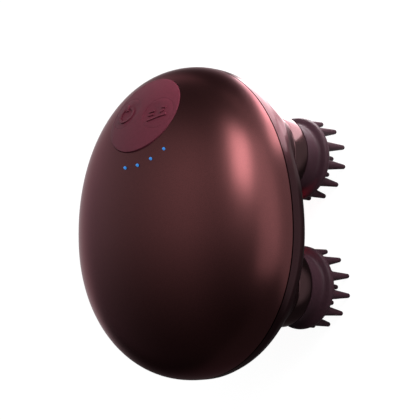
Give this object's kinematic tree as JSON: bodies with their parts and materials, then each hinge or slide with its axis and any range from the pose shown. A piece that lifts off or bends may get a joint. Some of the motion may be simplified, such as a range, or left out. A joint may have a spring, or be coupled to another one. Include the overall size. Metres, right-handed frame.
{
  "type": "electric scalp massager",
  "caption": "Hand-held egg-shaped scalp massager with turning silicone finger heads on bronze hubs, a round silicone key pad and a red light in the back.",
  "frame": {"origin": "on the plane of the finger tips, under the middle of the bounding box", "axes": "+Z out of the smooth dome, +Y along the egg towards the control pad, +X across"},
  "size_m": [0.093, 0.11, 0.076],
  "materials": {
    "dome_bronze": "satin metallic bronze paint",
    "back_bronze": "satin metallic dark bronze paint",
    "seal_rubber": "matte",
    "steel": "zinc-plated or ground",
    "pad_silicone": "matte wine-red silicone",
    "light_pipe": "clear, lit blue",
    "circuit_board": "green solder mask",
    "switch_plastic": "moulded",
    "led_white": "moulded",
    "red_lens": "translucent red",
    "led_red": "moulded",
    "contact_brass": "plated",
    "cell_sleeve": "printed-free blue sleeve",
    "grey_plastic": "moulded",
    "strap_fabric": "woven tape",
    "bush_brass": "sintered",
    "plate_steel": "pressed",
    "can_steel": "drawn and plated",
    "magnet_iron": "ground",
    "armature_iron": "laminations with enamelled copper",
    "gear_plastic": "moulded acetal",
    "head_silicone": "matte mauve-brown silicone",
    "hub_bronze": "polished bronze paint"
  },
  "bodies": {
    "housing": {"front_shell": "dome_bronze", "rear_shell": "back_bronze", "seam_gasket": "seal_rubber", "shell_screws": "steel", "control_pad": "pad_silicone", "light_pipes": "light_pipe", "control_board": "circuit_board", "tact_switches": "switch_plastic", "indicator_leds": "led_white", "board_screws": "steel", "light_window": "red_lens", "light_board": "circuit_board", "red_leds": "led_red", "charging_contacts": "contact_brass", "charging_board": "circuit_board", "battery_cell": "cell_sleeve", "battery_cradle": "grey_plastic", "battery_strap": "strap_fabric", "gearbox_base": "grey_plastic", "gearbox_cover": "grey_plastic", "gearbox_screws": "steel", "gear_axles": "steel", "shaft_bushings": "bush_brass", "shaft_seals": "seal_rubber", "motor_plate": "plate_steel", "motor_plate_screws": "steel", "motor_can": "can_steel", "motor_magnets": "magnet_iron", "motor_endcap": "switch_plastic", "motor_screws": "steel"},
    "power_key": {"power_button": "pad_silicone"},
    "mode_key": {"mode_button": "pad_silicone"},
    "rotor": {"motor_armature": "armature_iron", "motor_shaft": "steel", "motor_pinion": "contact_brass"},
    "idler": {"idler_gear": "gear_plastic"},
    "drive": {"drive_gear": "gear_plastic", "drive_wheel": "gear_plastic"},
    "transfer": {"transfer_gear": "gear_plastic"},
    "upper_right_head": {"upper_right_massage_head": "head_silicone", "upper_right_hub": "hub_bronze", "upper_right_hub_screw": "steel", "upper_right_shaft": "steel", "upper_right_gear": "gear_plastic"},
    "upper_left_head": {"upper_left_massage_head": "head_silicone", "upper_left_hub": "hub_bronze", "upper_left_hub_screw": "steel", "upper_left_shaft": "steel", "upper_left_gear": "gear_plastic"},
    "lower_right_head": {"lower_right_massage_head": "head_silicone", "lower_right_hub": "hub_bronze", "lower_right_hub_screw": "steel", "lower_right_shaft": "steel", "lower_right_gear": "gear_plastic"},
    "lower_left_head": {"lower_left_massage_head": "head_silicone", "lower_left_hub": "hub_bronze", "lower_left_hub_screw": "steel", "lower_left_shaft": "steel", "lower_left_gear": "gear_plastic"}
  },
  "joints": [
    {"name": "drive_spin", "type": "hinge", "parent": "housing", "child": "drive", "pos_m": [0.0125, 0, 0.037], "axis": [0, 0, 1], "continuous": true},
    {"name": "transfer_spin", "type": "hinge", "parent": "housing", "child": "transfer", "pos_m": [-0.0125, 0, 0.037], "axis": [0, 0, 1], "continuous": true},
    {"name": "idler_spin", "type": "hinge", "parent": "housing", "child": "idler", "pos_m": [-0.004, 0.012, 0.037], "axis": [0, 0, 1], "continuous": true},
    {"name": "motor_spin", "type": "hinge", "parent": "housing", "child": "rotor", "pos_m": [-0.004, -0.005, 0.037], "axis": [0, 0, 1], "continuous": true},
    {"name": "upper_right_head_spin", "type": "hinge", "parent": "housing", "child": "upper_right_head", "pos_m": [0.021, 0.02298, 0.037], "axis": [0, 0, 1], "continuous": true},
    {"name": "upper_left_head_spin", "type": "hinge", "parent": "housing", "child": "upper_left_head", "pos_m": [-0.021, 0.02298, 0.037], "axis": [0, 0, 1], "continuous": true},
    {"name": "lower_right_head_spin", "type": "hinge", "parent": "housing", "child": "lower_right_head", "pos_m": [0.021, -0.02298, 0.037], "axis": [0, 0, 1], "continuous": true},
    {"name": "lower_left_head_spin", "type": "hinge", "parent": "housing", "child": "lower_left_head", "pos_m": [-0.021, -0.02298, 0.037], "axis": [0, 0, 1], "continuous": true},
    {"name": "power_press", "type": "slide", "parent": "housing", "child": "power_key", "axis": [0, -0.4879, -0.8729], "range_m": [0, 0.0005], "stiffness_N_per_m": 400},
    {"name": "mode_press", "type": "slide", "parent": "housing", "child": "mode_key", "axis": [0, -0.4879, -0.8729], "range_m": [0, 0.0005], "stiffness_N_per_m": 400}
  ],
  "couplings": [
    {"joint": "transfer_spin", "follows": "drive_spin", "ratio": -1},
    {"joint": "idler_spin", "follows": "drive_spin", "ratio": -3.8571},
    {"joint": "motor_spin", "follows": "drive_spin", "ratio": 18},
    {"joint": "upper_right_head_spin", "follows": "drive_spin", "ratio": -1.0417},
    {"joint": "upper_left_head_spin", "follows": "drive_spin", "ratio": 1.0417},
    {"joint": "lower_right_head_spin", "follows": "drive_spin", "ratio": -1.0417},
    {"joint": "lower_left_head_spin", "follows": "drive_spin", "ratio": 1.0417}
  ]
}
